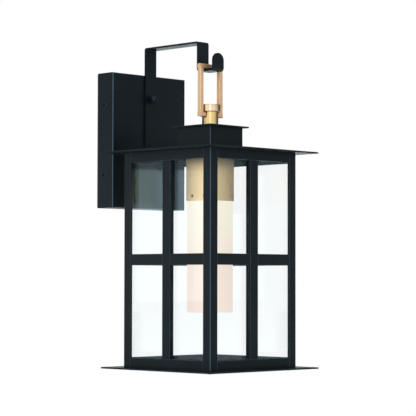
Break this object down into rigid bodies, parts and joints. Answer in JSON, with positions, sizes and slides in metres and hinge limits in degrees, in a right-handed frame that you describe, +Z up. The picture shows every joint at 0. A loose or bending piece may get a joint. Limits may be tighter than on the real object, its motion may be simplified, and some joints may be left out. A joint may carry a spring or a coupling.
{
  "type": "outdoor wall lantern",
  "caption": "Square glazed outdoor wall lantern that hangs by a brass link from a strap hook on a rectangular backplate.",
  "frame": {"origin": "the middle of the bracket's back, on the wall, at the centre of the backplate", "axes": "+X along the wall to the right as seen from the room, -Y out of the wall, +Z up"},
  "size_m": [0.203, 0.2495, 0.4367],
  "materials": {
    "black_coat": "fine-textured black powder coat",
    "brushed_brass": "satin brushed",
    "zinc_steel": "zinc plated",
    "green_screw": "green passivated",
    "clear_glass": "clear polished float glass",
    "opal_glass": "white opal, satin, lit",
    "bulb_glass": "frosted",
    "porcelain": "glazed porcelain",
    "rubber": "matt moulded",
    "foam": "closed-cell foam"
  },
  "bodies": {
    "wall_part": {"wall_gasket": "foam", "mounting_bracket": "zinc_steel", "ground_screw": "green_screw", "backplate": "black_coat", "side_screws": "black_coat", "backing_plate": "zinc_steel", "hook_arm": "black_coat", "arm_bolt": "zinc_steel", "arm_cap_nut": "black_coat", "arm_screw": "black_coat", "backplate_bushing": "rubber"},
    "link": {"link": "brushed_brass"},
    "lantern": {"hub_cap": "brushed_brass", "hub_stem": "brushed_brass", "tie_rod": "zinc_steel", "neck_plate": "black_coat", "neck_box": "black_coat", "roof_plate": "black_coat", "post_front_left": "black_coat", "post_front_right": "black_coat", "post_back_right": "black_coat", "post_back_left": "black_coat", "top_rail_front": "black_coat", "top_rail_right": "black_coat", "top_rail_back": "black_coat", "top_rail_left": "black_coat", "mid_rail_front": "black_coat", "mid_rail_right": "black_coat", "mid_rail_back": "black_coat", "mid_rail_left": "black_coat", "bottom_rail_front": "black_coat", "bottom_rail_right": "black_coat", "bottom_rail_back": "black_coat", "bottom_rail_left": "black_coat", "stile_front": "black_coat", "stile_right": "black_coat", "stile_back": "black_coat", "stile_left": "black_coat", "glass_front": "clear_glass", "glass_right": "clear_glass", "glass_back": "clear_glass", "glass_left": "clear_glass", "glazing_seals": "rubber", "corner_blocks": "black_coat", "glass_clips": "black_coat", "clip_screws": "zinc_steel", "base_plate": "black_coat", "base_screws": "black_coat", "lantern_bushing": "rubber", "sleeve": "brushed_brass", "sleeve_nut": "zinc_steel", "tube_screws": "brushed_brass", "opal_tube": "opal_glass", "lampholder": "porcelain", "bulb_cap": "zinc_steel", "bulb": "bulb_glass"}
  },
  "joints": [
    {"name": "link_swing", "type": "hinge", "parent": "wall_part", "child": "link", "pos_m": [0, -0.148, 0.0943], "axis": [-1, 0, 0], "range_deg": [-3, 12]},
    {"name": "lantern_swing", "type": "hinge", "parent": "link", "child": "lantern", "pos_m": [0, -0.148, 0.0303], "axis": [-1, 0, 0], "range_deg": [-3, 12]}
  ]
}
